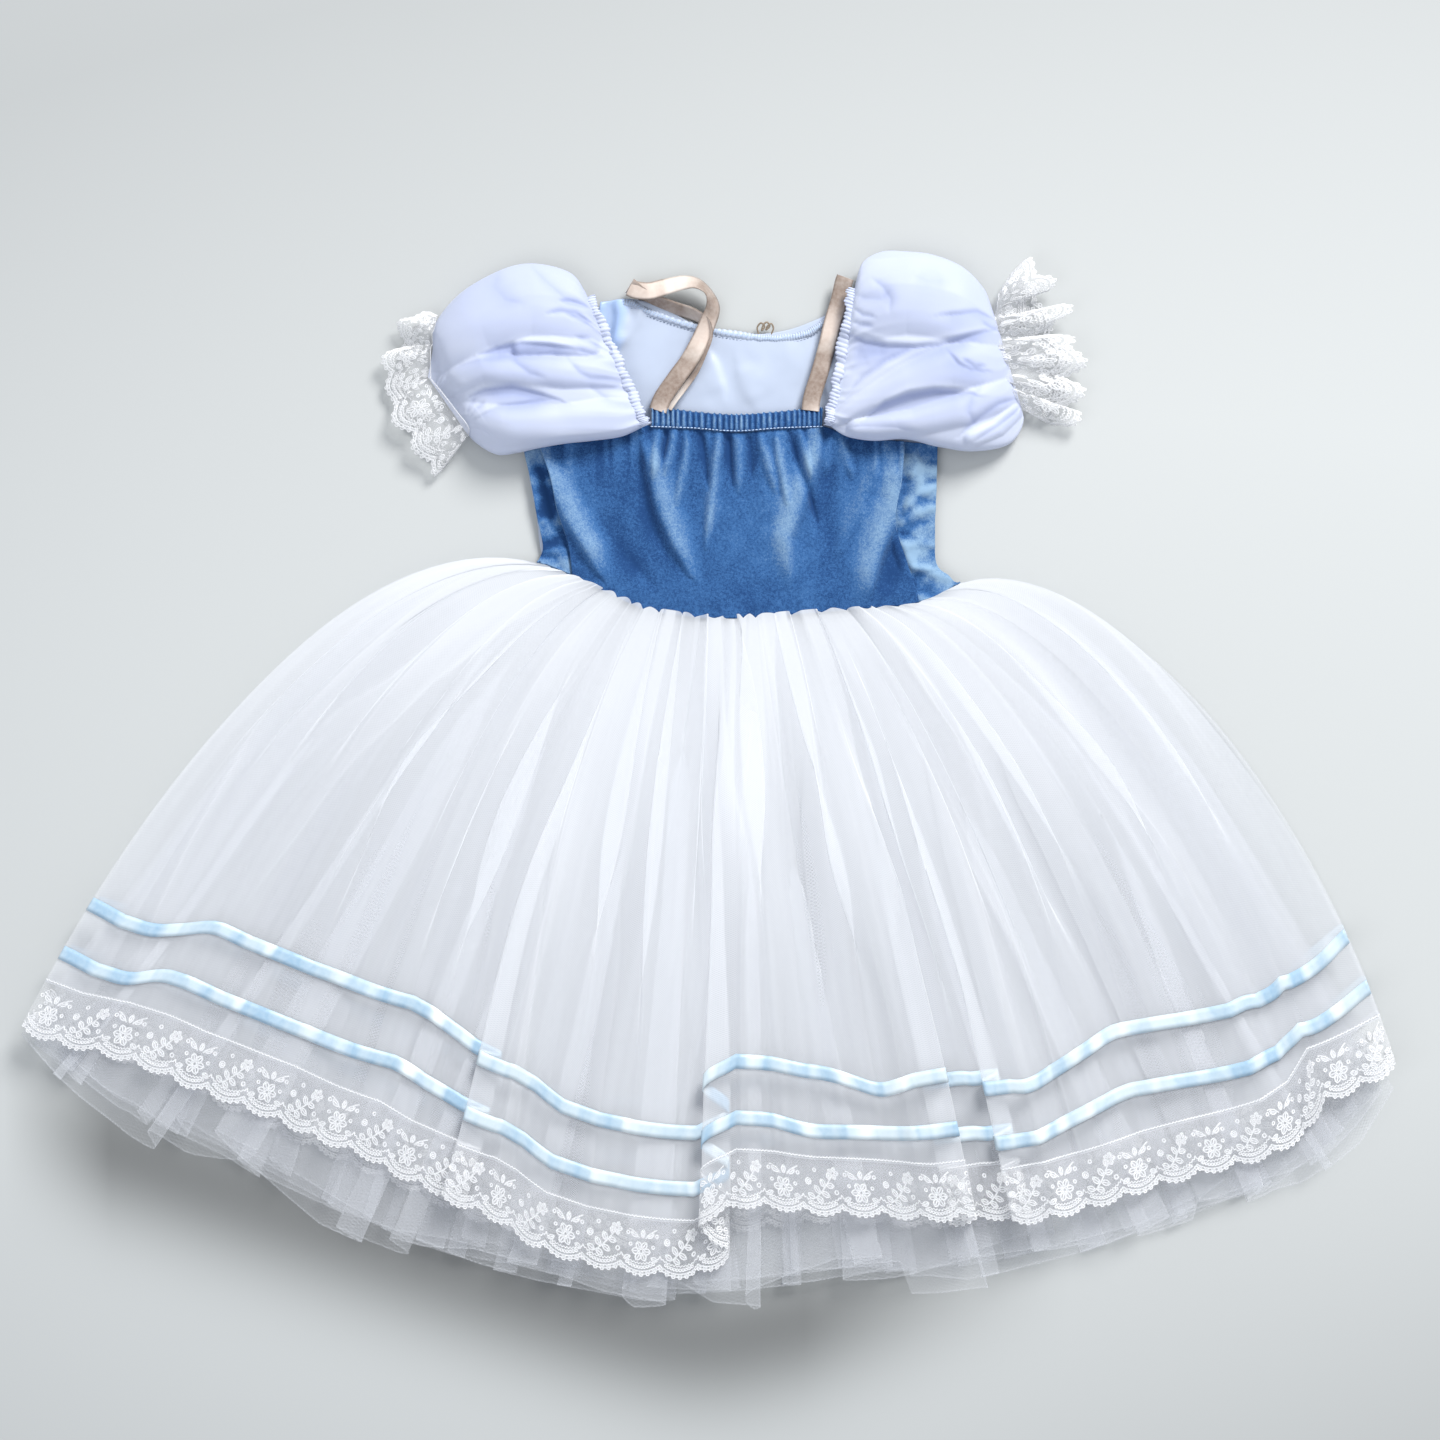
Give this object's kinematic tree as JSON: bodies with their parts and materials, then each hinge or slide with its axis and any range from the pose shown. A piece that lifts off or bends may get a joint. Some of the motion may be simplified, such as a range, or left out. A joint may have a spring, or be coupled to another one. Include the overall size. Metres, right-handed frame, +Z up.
{
  "type": "ballet tutu",
  "caption": "Romantic ballet tutu laid flat: velvet bodice, chiffon puff sleeves with lace cuffs, satin straps and a long tulle skirt with ribbon bands and a lace hem.",
  "frame": {"origin": "on the floor under the middle of the garment's box", "axes": "+X to the wide hem's right as seen from above, +Y from the hem towards the neck, +Z up from the floor, out of the garment's front"},
  "size_m": [0.9322, 0.7157, 0.0306],
  "materials": {
    "velvet": "crushed velvet, mid blue with a pale nap",
    "lining_satin": "smooth white satin",
    "chiffon": "sheer white chiffon, soft sheen",
    "tulle": "fine sheer white tulle",
    "net": "stiff sheer net",
    "lace": "white embroidered lace on net",
    "ribbon_satin": "pale blue satin ribbon, glossy",
    "strap_satin": "tan satin ribbon, glossy",
    "elastic": "ruffled white elastic edging"
  },
  "bodies": {
    "root": {"bodice_front": "velvet", "bodice_side_left": "velvet", "bodice_side_right": "velvet", "bodice_back": "velvet", "back_lining": "lining_satin", "front_neck_casing": "velvet", "back_neck_binding": "lining_satin", "back_neck_loop": "strap_satin", "strap_left": "strap_satin", "strap_right": "strap_satin", "sleeve_left": "chiffon", "sleeve_right": "chiffon", "sleeve_elastic_left": "elastic", "sleeve_elastic_right": "elastic", "cuff_lace_left": "lace", "cuff_lace_right": "lace", "skirt_front": "tulle", "skirt_back": "tulle", "net_front_outer": "net", "net_front_inner": "net", "net_back_inner": "net", "net_back_outer": "net", "ribbon_upper_front": "ribbon_satin", "ribbon_lower_front": "ribbon_satin", "ribbon_upper_back": "ribbon_satin", "ribbon_lower_back": "ribbon_satin", "lace_front": "lace", "lace_back": "lace"}
  },
  "joints": []
}
